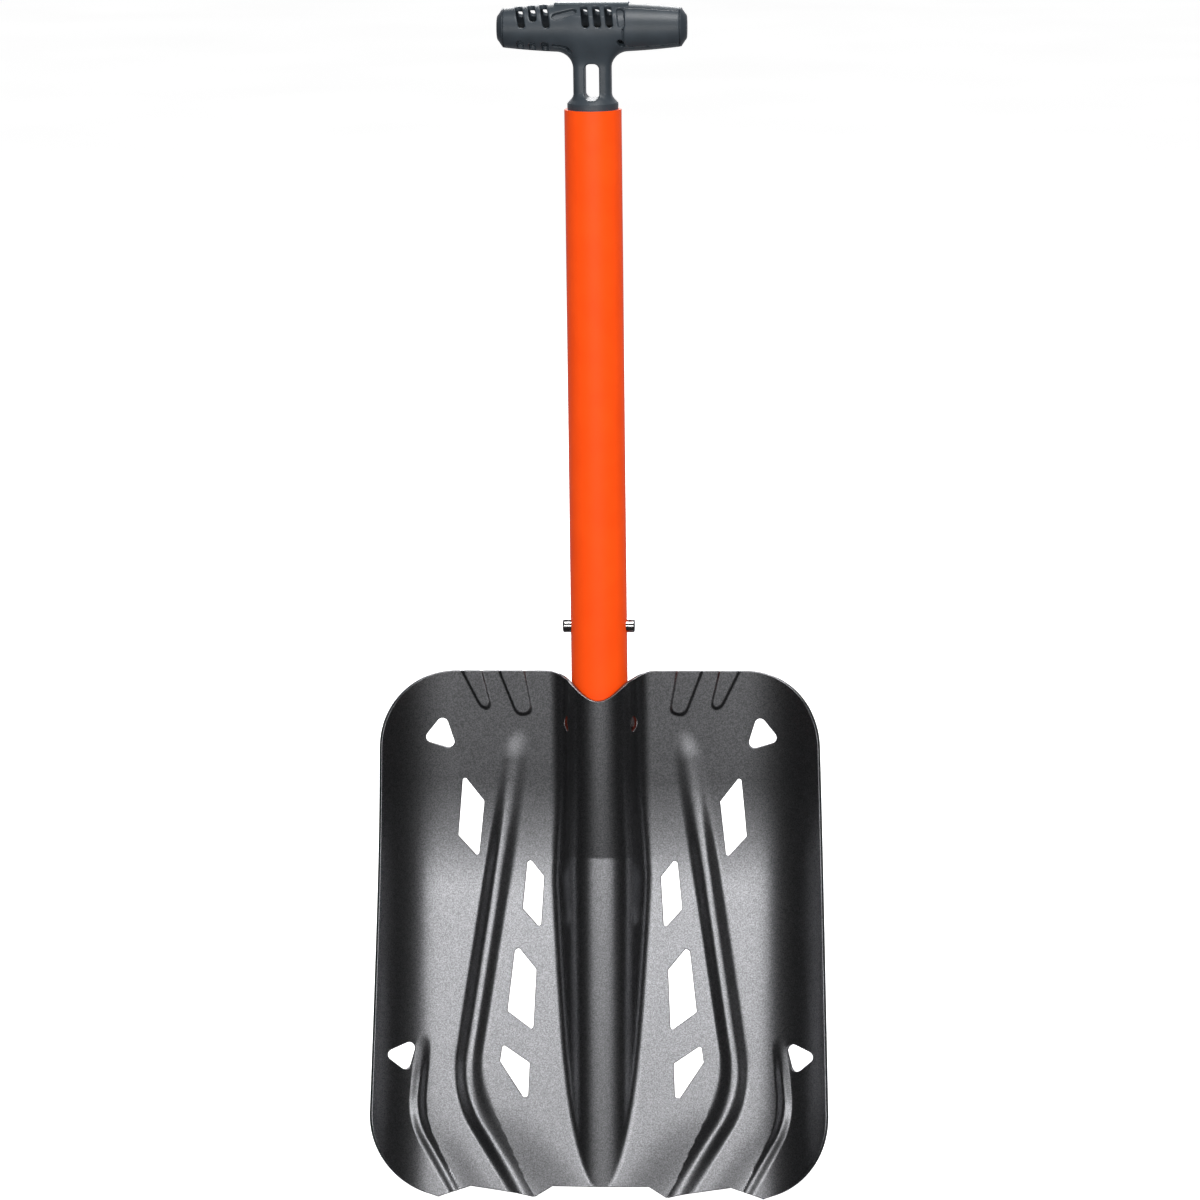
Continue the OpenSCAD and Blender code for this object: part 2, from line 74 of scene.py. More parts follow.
# ---------------------------------------------------------------- main sizes

BLADE_LOW, BLADE_HIGH = box_mm("blade")
TUBE_LOW, TUBE_HIGH = box_mm("shaft_tube")
GRIP_LOW, GRIP_HIGH = box_mm("grip_body")
PLATE_LOW, PLATE_HIGH = box_mm("grip_top_plate")

SHAFT_Y = (TUBE_LOW[1] + TUBE_HIGH[1]) / 2
SHAFT_R = (TUBE_HIGH[0] - TUBE_LOW[0]) / 2
TUBE_TOP = TUBE_HIGH[2]
BLADE_W = BLADE_HIGH[0] - BLADE_LOW[0]

# Blade, as in the part's own design
BLADE_H = 282.0
SHEET_T = 2.0
LIFT = radians(13)
BEND_LOW = 156.0
BEND_SPAN = 67.0
BEND_TOP = BEND_LOW + BEND_SPAN
TOE_RISE = 7.5
WALL_W = 46.0
CURL_R = 55.0
AXIS_STAND = 8.5
SEAT_LOW = 182.0
CREST_R = 20.0
CREST_WALL = radians(62)
SEAT_WALL = radians(78)
FOOT_R = 8.0
SEAT_FOOT_R = 10.0
SOCKET_GAP = 0.5
GUTTER_TURN = 55.0
GUTTER_FADE = 0.7
DIP_W = 30.0
DIP_H = 16.7
BUTTON_UP = 70.0

BEND_R = BEND_SPAN / sin(LIFT)
BEND_RISE = BEND_R * (1 - cos(LIFT))
SOCKET_R = SHAFT_R + SOCKET_GAP
SEAT_R = SOCKET_R + SHEET_T
PATTERN_H = 281.0
TOOTH_TIP = (87.0, 0.0)


# ------------------------------------------------------------ blade's surface

def ease(t):
    u = np.clip(t, 0, 1)
    return u * u * (3 - 2 * u)


def curl_rise(x):
    """Rise of the side walls at distance x from the centre line."""
    d = np.clip(x - BLADE_W / 2 + WALL_W, 0, 0.9 * CURL_R)
    return CURL_R - np.sqrt(CURL_R ** 2 - d * d)


BLADE_Y = SHAFT_Y + AXIS_STAND - BEND_TOP * sin(LIFT) + BEND_RISE * cos(LIFT)
BLADE_Z = (SHEET_T - TOE_RISE - float(curl_rise(TOOTH_TIP[0]))) * sin(LIFT)
SEAT_Z = BLADE_Z + (SEAT_LOW - (SHAFT_Y - SHAFT_R - BLADE_Y) * sin(LIFT)) / cos(LIFT)


def from_blade(x, s, n):
    """Part frame of a point at height s and rise n in the blade's frame."""
    y = BLADE_Y + s * sin(LIFT) - n * cos(LIFT)
    z = BLADE_Z + s * cos(LIFT) + n * sin(LIFT)
    return np.stack(np.broadcast_arrays(x, y, z), axis=-1)


def axis_rise(s):
    return s * tan(LIFT) - (SHAFT_Y - BLADE_Y) / cos(LIFT)


def ridge(x, h, r, wall, foot_r):
    """Section of a pressed ridge: round crest, straight walls, round foot."""
    tall = np.maximum(h, 1e-6)
    a = np.minimum(wall, np.arccos(np.clip(1 - tall / (r + foot_r), -1, 1)))
    x1 = r * np.sin(a)
    z1 = tall - r * (1 - np.cos(a))
    x2 = x1 + (z1 - foot_r * (1 - np.cos(a))) / np.tan(a)
    foot = x2 + foot_r * np.sin(a)
    crest = tall - r + np.sqrt(np.maximum(r * r - x * x, 0))
    side = z1 - (x - x1) * np.tan(a)
    run_out = foot_r - np.sqrt(np.maximum(foot_r ** 2 - (foot - x) ** 2, 0))
    out = np.where(x < x1, crest, np.where(x < x2, side, np.where(x < foot, run_out, 0)))
    return np.where(h <= 0, 0, out)


def sheet_rise(s):
    toe = TOE_RISE * (1 - s / BEND_LOW) ** 2
    bend = BEND_R - np.sqrt(np.maximum(BEND_R ** 2 - (s - BEND_LOW) ** 2, 0))
    upper = BEND_RISE + (s - BEND_TOP) * tan(LIFT)
    return np.where(s < BEND_LOW, toe, np.where(s < BEND_TOP, bend, upper))


SEAT_CREST = axis_rise(SEAT_LOW) + SEAT_R / cos(LIFT)
TOE_CREST = TOE_RISE - GUTTER_FADE


def gutter_rise(x, s):
    k = ease((s - SEAT_LOW) / GUTTER_TURN + 0.25)
    sinking = TOE_CREST + (SEAT_CREST - TOE_CREST) * s / SEAT_LOW
    crest = np.where(s < SEAT_LOW, sinking, axis_rise(s) + SEAT_R / cos(LIFT))
    return ridge(x, crest - sheet_rise(s),
                 CREST_R + (SEAT_R - CREST_R) * k,
                 CREST_WALL + (SEAT_WALL - CREST_WALL) * k,
                 FOOT_R + (SEAT_FOOT_R - FOOT_R) * k)


def off_line(x, s, a, b):
    """Signed distance outward from the line through a and b, running upward."""
    length = np.hypot(b[0] - a[0], b[1] - a[1])
    dx, ds = (b[0] - a[0]) / length, (b[1] - a[1]) / length
    return (x - a[0]) * ds - (s - a[1]) * dx


def round_max(a, b, k):
    return np.maximum(a, b) + np.maximum(k - np.abs(a - b), 0) ** 2 / (4 * k)


RIB_TOP, RIB_BEND, RIB_LOW = (44.0, 254.0), (74.0, 57.0), (43.0, 6.0)
RIB_TURN, SMALL_TURN = 14.0, 8.0
SMALL_TOP, SMALL_BEND, SMALL_LOW = (95.5, 86.0), (99.5, 42.0), (79.5, 6.0)
# Height, half width, height of the round tip's centre, run-out below it
RIB = (3.7, 8.8, 234.0, 70.0)
SMALL_RIB = (2.0, 4.6, 78.0, 20.0)
# The field between the ribs stands a little higher at the cutting edge
FIELD_H, FIELD_TOP, FIELD_RUN = 1.6, 52.0, 26.0
# Share of a rib's height at its upper tip and at the cutting edge, and the
# length over which it grows from the cutting edge to its full height
RIB_TIP, RIB_TOE, RIB_TOE_RUN = 0.3, 0.6, 40.0
# Distances past the centre of a rib's tip count for this share of their length,
# which draws the tip out to twice a half circle
TIP_DRAW = 0.5


def off_rib(x, s, top, bend, low, k):
    return round_max(off_line(x, s, bend, top), off_line(x, s, low, bend), k)


def pressed_rib(off, s, rib, field):
    """Rise of a smooth rib with a dome at its upper tip, over the field inside."""
    height, half, tip, run = rib
    at_tip = RIB_TIP + (1 - RIB_TIP) * ease((tip + half - s) / run)
    at_toe = RIB_TOE + (1 - RIB_TOE) * ease(s / RIB_TOE_RUN)
    h = height * at_tip * at_toe
    reach = np.hypot(off, TIP_DRAW * np.maximum(s - tip, 0))
    swell = 0.5 + 0.5 * np.cos(pi * np.clip(reach / half, 0, 1))
    return np.maximum(h * swell, field)


def rib_rise(x, s):
    big = off_rib(x, s, RIB_TOP, RIB_BEND, RIB_LOW, RIB_TURN)
    small = off_rib(x, s, SMALL_TOP, SMALL_BEND, SMALL_LOW, SMALL_TURN)
    field = FIELD_H * ease((FIELD_TOP - s) / FIELD_TOP)
    inner = field * ease((big + FIELD_RUN + 4) / FIELD_RUN) * ease(-big / 4)
    outer = 0.6 * field * ease((small + 18) / 14) * ease(-small / 3)
    return pressed_rib(big, s, RIB, inner) + pressed_rib(small, s, SMALL_RIB, outer)


# Two shallow tapered lugs are pressed forward from each half of the top edge,
# as [top inner, top outer, tip outer, tip inner] corners
LUG_H, LUG_EDGE = 0.75, 1.5
LUGS = (((64.2, 284), (75.4, 284), (63.9, 261.5), (58.9, 262.3)),
        ((41.3, 284), (55.2, 284), (45.0, 258.2), (37.0, 259.6)))


def in_lug(x, s, lug):
    """Distance inside a lug, negative outside it, with a round tip."""
    top_in, top_out, tip_out, tip_in = lug
    within = np.maximum(-off_line(x, s, tip_in, top_in), off_line(x, s, tip_out, top_out))
    return -round_max(within, off_line(x, s, tip_in, tip_out), 4.0)


def lug_rise(x, s):
    out = 0 * x
    for lug in LUGS:
        out = np.maximum(out, LUG_H * ease(in_lug(np.abs(x), s, lug) / LUG_EDGE + 0.5))
    return out


def blade_rise(x, s):
    a = np.abs(x)
    return sheet_rise(s) + curl_rise(a) + gutter_rise(a, s) + rib_rise(a, s) + lug_rise(a, s)


def blade_surface(x, s):
    return from_blade(x, s, blade_rise(x, s))


# ------------------------------------------------------------ blade's outline

def corner(w, h, steps, power):
    """Superellipse corner from [0, h] round to [w, 0]."""
    angles = [pi / 2 * (1 - i / steps) for i in range(steps + 1)]
    return [(w * max(cos(a), 0) ** (2 / power), h * max(sin(a), 0) ** (2 / power))
            for a in angles]


def half_outline():
    """Bottom centre round to the top centre: teeth, corners, side and dip."""
    scale = BLADE_H / PATTERN_H
    teeth = [(0, 5.5), (25.8, 6), (35, 0.4), (69.8, 5.8), TOOTH_TIP]
    low, high, side_x = (81, 45), (77, 238), 116.5
    low_round = corner(BLADE_W / 2 - low[0], low[1], 24, 2)
    high_round = corner(side_x - high[0], PATTERN_H - high[1], 24, 2.1)
    points = list(teeth)
    points += [(low[0] + x, low[1] - y) for x, y in low_round if x > 9]
    points += [(high[0] + x, high[1] + y) for x, y in reversed(high_round)]
    points = [(x, s * scale) for x, s in points]
    for i in range(19):
        t = 1 - i / 18
        points.append((DIP_W * t, BLADE_H - DIP_H * (0.5 + 0.5 * cos(pi * t)) ** 1.2))
    return points


CORNER_HOLES = (((84, 259), (96, 244), (77.5, 238.5)),
                ((98.5, 84.6), (116, 76.8), (103, 65.6)))
CORNER_HOLE_ROUND = 3.0
WINDOWS = (((73.5, 224), (63.5, 211.4), (66.8, 181), (77.7, 192.8), (75, 223)),
           ((38.5, 179.8), (31.5, 171), (33.2, 143), (43, 153.8), (40.5, 178.8)),
           ((45, 132.8), (35.5, 121.3), (37, 88.6), (51, 98.8), (47.2, 131.3)),
           ((53.5, 81.2), (38.8, 71.3), (39.5, 53.2), (42.3, 53.2), (54.8, 72)))
WINDOW_ROUND = 1.2


def rounded(points, r, steps=6):
    """An outline with each corner rounded to radius r."""
    out = []
    for i, p in enumerate(points):
        p = Vector(p)
        u = (Vector(points[i - 1]) - p).normalized()
        v = (Vector(points[(i + 1) % len(points)]) - p).normalized()
        half = u.angle(v) / 2
        centre = p + (u + v).normalized() * (r / sin(half))
        start = p + u * (r / tan(half)) - centre
        end = p + v * (r / tan(half)) - centre
        turn = start.angle_signed(end)
        for k in range(steps + 1):
            out.append(tuple(centre + Matrix.Rotation(-turn * k / steps, 2) @ start))
    return out


def divided(loop, step):
    """A closed loop with its long stretches divided."""
    out = []
    for i, a in enumerate(loop):
        b = loop[(i + 1) % len(loop)]
        n = max(1, round(float(np.hypot(b[0] - a[0], b[1] - a[1])) / step))
        out += [(a[0] + (b[0] - a[0]) * k / n, a[1] + (b[1] - a[1]) * k / n)
                for k in range(n)]
    return np.array(out)


def area(loop):
    x, y = loop[:, 0], loop[:, 1]
    return 0.5 * float(np.sum(x * np.roll(y, -1) - y * np.roll(x, -1)))


def offset(loop, d):
    """A counter-clockwise loop moved inward by d, or a clockwise one outward."""
    ahead = np.roll(loop, -1, 0) - loop
    behind = loop - np.roll(loop, 1, 0)
    ahead /= np.linalg.norm(ahead, axis=1)[:, None] + 1e-9
    behind /= np.linalg.norm(behind, axis=1)[:, None] + 1e-9
    along = ahead + behind
    along /= np.linalg.norm(along, axis=1)[:, None] + 1e-9
    return loop + d * np.stack([-along[:, 1], along[:, 0]], 1)


def inside(points, loop):
    """Which points lie inside a loop."""
    x, y = points[:, 0][:, None], points[:, 1][:, None]
    x0, y0 = loop[:, 0][None], loop[:, 1][None]
    x1, y1 = np.roll(x0, -1, 1), np.roll(y0, -1, 1)
    crosses = (y0 > y) != (y1 > y)
    slope = (x1 - x0) / np.where(np.abs(y1 - y0) < 1e-9, 1e-9, y1 - y0)
    return (np.sum(crosses & (x < x0 + (y - y0) * slope), 1) % 2).astype(bool)


def near(points, loops, d):
    """Which points lie closer than d to a vertex of the loops."""
    edge = np.concatenate(loops)
    out = np.zeros(len(points), bool)
    for i in range(0, len(points), 4000):
        part = points[i:i + 4000]
        gap = ((part[:, None, 0] - edge[None, :, 0]) ** 2
               + (part[:, None, 1] - edge[None, :, 1]) ** 2)
        out[i:i + 4000] = gap.min(1) < d * d
    return out


# ----------------------------------------------------------- mesh builders

def linked(name, data):
    """An object that shows the data, in the scene."""
    made = bpy.data.objects.new(name, data)
    bpy.context.scene.collection.objects.link(made)
    return made


def new_object(name, points, faces, normals=None):
    """Mesh object from points in mm, smooth, with its own normals if given."""
    mesh = bpy.data.meshes.new(name)
    mesh.from_pydata([tuple(p) for p in np.asarray(points) * MM], [], faces)
    mesh.validate()
    mesh.polygons.foreach_set("use_smooth", [True] * len(mesh.polygons))
    if normals is not None:
        mesh.normals_split_custom_set_from_vertices([tuple(n) for n in normals])
    return linked(name, mesh)


def surface_normals(surface, u, v, step=0.12):
    du = surface(u + step, v) - surface(u - step, v)
    dv = surface(u, v + step) - surface(u, v - step)
    n = np.cross(du, dv)
    return n / np.linalg.norm(n, axis=1)[:, None]


def sheet_metal(name, surface, outline, holes, grid, thickness, edge):
    """A pressed sheet: surface gives its visible face over (u, v), the loops
    bound it, and every edge is rounded over the given width."""
    loops = [outline if area(outline) > 0 else outline[::-1]]
    loops += [h if area(h) < 0 else h[::-1] for h in holes]
    inner = [offset(loop, edge) for loop in loops]
    keep = inside(grid, inner[0])
    for loop in inner[1:]:
        keep &= ~inside(grid, loop)
    grid = grid[keep]
    grid = grid[~near(grid, inner, 0.55)]
    flat = np.concatenate(inner + [grid])
    edges, start = [], 0
    for loop in inner:
        n = len(loop)
        edges += [(start + i, start + (i + 1) % n) for i in range(n)]
        start += n
    made = delaunay_2d_cdt([Vector(p) for p in flat], edges, [], 1, 1e-5)
    flat = np.array([tuple(p) for p in made[0]])
    middle = np.array([flat[list(f)].mean(0) for f in made[2]])
    solid = np.ones(len(middle), bool)
    for loop in inner[1:]:
        solid &= ~inside(middle, loop)
    faces = [tuple(f) for f, k in zip(made[2], solid) if k]
    index = {old: new for new, olds in enumerate(made[3]) for old in olds}

    u, v = flat[:, 0], flat[:, 1]
    front = surface(u, v)
    normal = surface_normals(surface, u, v)
    back = front - thickness * normal
    count = len(front)
    points, normals = [front, back], [normal, -normal]
    tris = list(faces) + [tuple(count + i for i in reversed(f)) for f in faces]
    total, start = 2 * count, 0
    for loop, rim in zip(loops, inner):
        n = len(loop)
        face_n = surface_normals(surface, loop[:, 0], loop[:, 1])
        at = surface(loop[:, 0], loop[:, 1])
        out = at - surface(rim[:, 0], rim[:, 1])
        out /= np.linalg.norm(out, axis=1)[:, None] + 1e-9
        points += [at - edge * face_n, at - (thickness - edge) * face_n]
        normals += [out, out]
        for i in range(n):
            j = (i + 1) % n
            a, b = index[start + i], index[start + j]
            c, d = total + i, total + j
            e, f = total + n + i, total + n + j
            tris += [(b, a, c, d), (d, c, e, f), (f, e, count + a, count + b)]
        total += 2 * n
        start += n
    return new_object(name, np.concatenate(points), tris, np.concatenate(normals))


def lathe(name, profile, steps=96):
    """Solid of revolution about Z from [radius, z] points in mm."""
    bm = bmesh.new()
    rings = []
    for r, z in profile:
        if r < 1e-6:
            rings.append([bm.verts.new((0, 0, z * MM))])
        else:
            rings.append([bm.verts.new((r * MM * cos(2 * pi * k / steps),
                                        r * MM * sin(2 * pi * k / steps), z * MM))
                          for k in range(steps)])
    for low, high in zip(rings, rings[1:]):
        for k in range(steps):
            j = (k + 1) % steps
            loop = [low[k % len(low)], low[j % len(low)], high[j % len(high)], high[k % len(high)]]
            loop = [p for i, p in enumerate(loop) if p not in loop[:i]]
            if len(loop) > 2:
                bm.faces.new(loop)
    bmesh.ops.recalc_face_normals(bm, faces=bm.faces)
    mesh = bpy.data.meshes.new(name)
    bm.to_mesh(mesh)
    bm.free()
    mesh.polygons.foreach_set("use_smooth", [True] * len(mesh.polygons))
    return linked(name, mesh)


def place(piece, matrix):
    """Bakes a placement (in metres) into a piece's mesh."""
    piece.data.transform(matrix)


# ------------------------------------------------------------ implicit shapes

def round_join(a, b, r):
    """Union of two distances with a fillet of radius r."""
    return (np.maximum(r, np.minimum(a, b))
            - np.hypot(np.maximum(r - a, 0), np.maximum(r - b, 0)))


def round_cut(a, b, r):
    """Distance a with b cut out of it, the new edge rounded to radius r."""
    return -round_join(-a, b, r)


def stadium(u, v, half, r):
    return np.hypot(np.maximum(np.abs(u) - half, 0), v) - r


def round_box(u, v, hu, hv, r):
    du, dv = np.abs(u) - hu + r, np.abs(v) - hv + r
    return (np.hypot(np.maximum(du, 0), np.maximum(dv, 0))
            + np.minimum(np.maximum(du, dv), 0) - r)


def skin(name, shape, low, high, step):
    """Quad mesh of the surface where shape(x, y, z) is 0, pulled exactly onto
    it, with the shape's own normals."""
    axes = [np.arange(low[i], high[i] + step, step) for i in range(3)]
    x, y, z = np.meshgrid(*axes, indexing="ij")
    value = shape(x, y, z)
    solid = value < 0
    nx, ny, nz = (len(a) - 1 for a in axes)
    total = np.zeros((nx, ny, nz))
    mid = np.zeros((nx, ny, nz, 3))
    count = np.zeros((nx, ny, nz))
    for i in (0, 1):
        for j in (0, 1):
            for k in (0, 1):
                total += solid[i:i + nx, j:j + ny, k:k + nz]
    corners = [(i, j, k) for k in (0, 1) for j in (0, 1) for i in (0, 1)]
    for a in range(8):
        for axis in range(3):
            if corners[a][axis]:
                continue
            b = list(corners[a])
            b[axis] = 1
            ca, cb = corners[a], tuple(b)
            va = value[ca[0]:ca[0] + nx, ca[1]:ca[1] + ny, ca[2]:ca[2] + nz]
            vb = value[cb[0]:cb[0] + nx, cb[1]:cb[1] + ny, cb[2]:cb[2] + nz]
            cross = (va < 0) != (vb < 0)
            t = np.where(cross, va / np.where(cross, va - vb, 1), 0)
            for m in range(3):
                mid[..., m] += cross * (ca[m] + t * (cb[m] - ca[m]))
            count += cross
    live = count > 0
    number = -np.ones((nx, ny, nz), int)
    number[live] = np.arange(int(live.sum()))
    base = np.stack(np.meshgrid(*(np.arange(n) for n in (nx, ny, nz)), indexing="ij"), -1)
    points = (base[live] + mid[live] / count[live][:, None]) * step + np.array(low)
    quads = []
    for axis in range(3):
        one, two = (axis + 1) % 3, (axis + 2) % 3
        ahead = [slice(None)] * 3
        ahead[axis] = slice(1, None)
        here = [slice(None)] * 3
        here[axis] = slice(None, -1)
        a, b = solid[tuple(here)], solid[tuple(ahead)]
        idx = np.argwhere(a != b)
        idx = idx[(idx[:, one] > 0) & (idx[:, two] > 0)]
        idx = idx[(idx[:, one] < solid.shape[one] - 1) & (idx[:, two] < solid.shape[two] - 1)]
        inward = a[tuple(idx.T)]
        shift1, shift2 = np.zeros(3, int), np.zeros(3, int)
        shift1[one], shift2[two] = 1, 1
        ring = [idx - shift1 - shift2, idx - shift2, idx, idx - shift1]
        quad = np.stack([number[tuple(r.T)] for r in ring], 1)
        quad[~inward] = quad[~inward][:, ::-1]
        quads.append(quad)
    quads = np.concatenate(quads)

    def slope(p, d=0.04):
        parts = []
        for m in range(3):
            e = np.zeros(3)
            e[m] = d
            ahead, behind = p + e, p - e
            parts.append(shape(*ahead.T) - shape(*behind.T))
        return np.stack(parts, 1) / (2 * d)

    for _ in range(4):
        g = slope(points)
        move = shape(*points.T)[:, None] * g / np.maximum((g * g).sum(1), 0.2)[:, None]
        points -= np.clip(move, -step / 2, step / 2)
    g = slope(points)
    normals = g / (np.linalg.norm(g, axis=1)[:, None] + 1e-9)
    return new_object(name, points, [tuple(int(i) for i in q) for q in quads], normals)


# --------------------------------------------------------------- materials

def nodes_of(name):
    mat = bpy.data.materials.new(name)
    mat.use_nodes = True
    tree = mat.node_tree
    return mat, tree, tree.nodes["Principled BSDF"]


def add(tree, kind, **values):
    node = tree.nodes.new(kind)
    for key, value in values.items():
        if key in node.inputs:
            node.inputs[key].default_value = value
        else:
            setattr(node, key, value)
    return node


def noise(tree, scale, detail=2.0, rough=0.5):
    coord = add(tree, "ShaderNodeTexCoord")
    tex = add(tree, "ShaderNodeTexNoise", Scale=scale, Detail=detail, Roughness=rough)
    tree.links.new(coord.outputs["Object"], tex.inputs["Vector"])
    return tex.outputs["Fac"]


def ramp(tree, source, stops):
    node = add(tree, "ShaderNodeValToRGB")
    node.color_ramp.elements[0].position, node.color_ramp.elements[0].color = stops[0]
    node.color_ramp.elements[1].position, node.color_ramp.elements[1].color = stops[-1]
    for position, color in stops[1:-1]:
        node.color_ramp.elements.new(position).color = color
    tree.links.new(source, node.inputs["Fac"])
    return node.outputs["Color"]


def span(tree, source, low, high):
    node = add(tree, "ShaderNodeMapRange")
    node.inputs["To Min"].default_value = low
    node.inputs["To Max"].default_value = high
    tree.links.new(source, node.inputs["Value"])
    return node.outputs["Result"]


def bump(tree, shader, source, height, strength=1.0):
    node = add(tree, "ShaderNodeBump", Strength=strength, Distance=height)
    tree.links.new(source, node.inputs["Height"])
    tree.links.new(node.outputs["Normal"], shader.inputs["Normal"])


def grey(v, tint=(1.0, 1.0, 1.0)):
    return (v * tint[0], v * tint[1], v * tint[2], 1.0)


COOL = (0.985, 0.99, 1.03)


def anodised(name, light, rough):
    """Bead-blasted, dark anodised aluminium with a fine sparkle."""
    mat, tree, shader = nodes_of(name)
    shader.inputs["Metallic"].default_value = 1.0
    grain = noise(tree, 1500, 2.0, 0.6)
    tree.links.new(ramp(tree, grain, ((0.32, grey(light * 0.66, COOL)),
                                      (0.5, grey(light, COOL)),
                                      (0.68, grey(light * 1.42, COOL)))),
                   shader.inputs["Base Color"])
    cloud = noise(tree, 35, 2.0, 0.5)
    tree.links.new(span(tree, cloud, rough - 0.012, rough + 0.012), shader.inputs["Roughness"])
    bump(tree, shader, noise(tree, 1900, 1.0, 0.5), 0.00001, 0.5)
    return mat


def bare_metal(name, light, rough, scale, streak, height):
    """Bright metal with fine machining or casting marks."""
    mat, tree, shader = nodes_of(name)
    shader.inputs["Metallic"].default_value = 1.0
    coord = add(tree, "ShaderNodeTexCoord")
    stretch = add(tree, "ShaderNodeMapping")
    stretch.inputs["Scale"].default_value = (1.0, 1.0, streak)
    tex = add(tree, "ShaderNodeTexNoise", Scale=scale, Detail=3.0)
    tree.links.new(coord.outputs["Object"], stretch.inputs["Vector"])
    tree.links.new(stretch.outputs["Vector"], tex.inputs["Vector"])
    tree.links.new(ramp(tree, tex.outputs["Fac"], ((0.3, grey(light * 0.8)), (0.7, grey(light)))),
                   shader.inputs["Base Color"])
    tree.links.new(span(tree, tex.outputs["Fac"], rough - 0.05, rough + 0.05),
                   shader.inputs["Roughness"])
    bump(tree, shader, tex.outputs["Fac"], height)
    return mat


def orange_coat(name):
    """Smooth satin fluorescent orange finish on the tube."""
    mat, tree, shader = nodes_of(name)
    cloud = noise(tree, 60, 2.0, 0.5)
    tree.links.new(ramp(tree, cloud, ((0.3, (0.93, 0.072, 0.002, 1)),
                                      (0.7, (0.98, 0.082, 0.003, 1)))),
                   shader.inputs["Base Color"])
    fine = noise(tree, 900, 2.0, 0.5)
    tree.links.new(span(tree, fine, 0.40, 0.48), shader.inputs["Roughness"])
    bump(tree, shader, fine, 0.00001, 0.6)
    shader.inputs["Specular IOR Level"].default_value = 0.15
    return mat


def moulded(name, colour, rough, grain_height):
    """Moulded plastic with a fine spark-eroded texture."""
    mat, tree, shader = nodes_of(name)
    cloud = noise(tree, 90, 3.0, 0.55)
    dark = tuple(c * 0.86 for c in colour) + (1,)
    light = tuple(c * 1.12 for c in colour) + (1,)
    tree.links.new(ramp(tree, cloud, ((0.3, dark), (0.7, light))), shader.inputs["Base Color"])
    grain = noise(tree, 1700, 2.0, 0.6)
    tree.links.new(span(tree, grain, rough - 0.06, rough + 0.06), shader.inputs["Roughness"])
    bump(tree, shader, grain, grain_height)
    return mat


BLADE_METAL = anodised("anodised_blade", 0.235, 0.30)
BRACKET_METAL = anodised("anodised_bracket", 0.215, 0.33)
WELD_METAL = bare_metal("weld_metal", 0.5, 0.36, 420, 1.0, 0.0001)
ORANGE = orange_coat("orange_tube")
GRIP_PLASTIC = moulded("grip_plastic", (0.036, 0.046, 0.056), 0.42, 0.00004)
CAP_PLASTIC = moulded("cap_plastic", (0.030, 0.038, 0.047), 0.42, 0.00003)
PLATE_PLASTIC = moulded("plate_plastic", (0.050, 0.068, 0.080), 0.36, 0.00001)
PLUG_PLASTIC = moulded("plug_plastic", (0.02, 0.02, 0.021), 0.5, 0.00003)
BUTTON_METAL = bare_metal("button_steel", 0.72, 0.16, 700, 1.0, 0.000006)
SPRING_METAL = bare_metal("spring_steel", 0.5, 0.28, 500, 0.05, 0.00001)
RIVET_METAL = bare_metal("rivet_aluminium", 0.6, 0.34, 600, 1.0, 0.00002)


def finish_piece(piece, body, slot, material, *replaced):
    piece.data.materials.clear()
    piece.data.materials.append(material)
    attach(piece, body)
    if replaced:
        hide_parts(*replaced)


def recoat(node, material):
    """Gives a carried-over CAD node its material."""
    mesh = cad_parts[node].data
    mesh.materials.clear()
    mesh.materials.append(material)


# -------------------------------------------------------------------- blade

LOCK_HOLE_R, LOCK_HOLE_STEPS = 4.05, 28
# The gutter's wall lies between these distances from the centre line
LOCK_HOLE_REACH = (12.0, 25.0)
# Spacing of the mesh's rows, and of the points along the holes and the outline,
# then how far in from its edge the sheet is rounded
ROW, HOLE_STEP, OUTLINE_STEP = 1.45, 0.9, 1.1
BLADE_EDGE = 0.42


def lock_hole_loop():
    """The locking hole in the gutter's right wall, as a loop on the sheet."""
    loop = []
    for k in range(LOCK_HOLE_STEPS):
        a = 2 * pi * k / LOCK_HOLE_STEPS
        y = SHAFT_Y + LOCK_HOLE_R * cos(a) - BLADE_Y
        z = SEAT_Z + BUTTON_UP + LOCK_HOLE_R * sin(a) - BLADE_Z
        s, n = y * sin(LIFT) + z * cos(LIFT), z * sin(LIFT) - y * cos(LIFT)
        low, high = LOCK_HOLE_REACH
        for _ in range(40):
            x = (low + high) / 2
            if float(blade_rise(np.array(x), np.array(s))) > n:
                low = x
            else:
                high = x
        loop.append((low, s))
    return np.array(loop)


def mirrored(loop):
    return np.array([(-x, s) for x, s in loop])


def along_rib(top, bend, low, k, half, step):
    """Rows of points at even distances from a rib's line, and on it."""
    offsets = np.linspace(-half, half, 2 * round(half / step) + 1)
    rows = np.arange(0.5, top[1] + half, ROW)
    v, off = np.meshgrid(rows, offsets)
    u = np.full_like(v, (top[0] + bend[0]) / 2)
    for _ in range(12):
        u = u + off - off_rib(u, v, top, bend, low, k)
    return np.stack([u.ravel(), v.ravel()], 1)


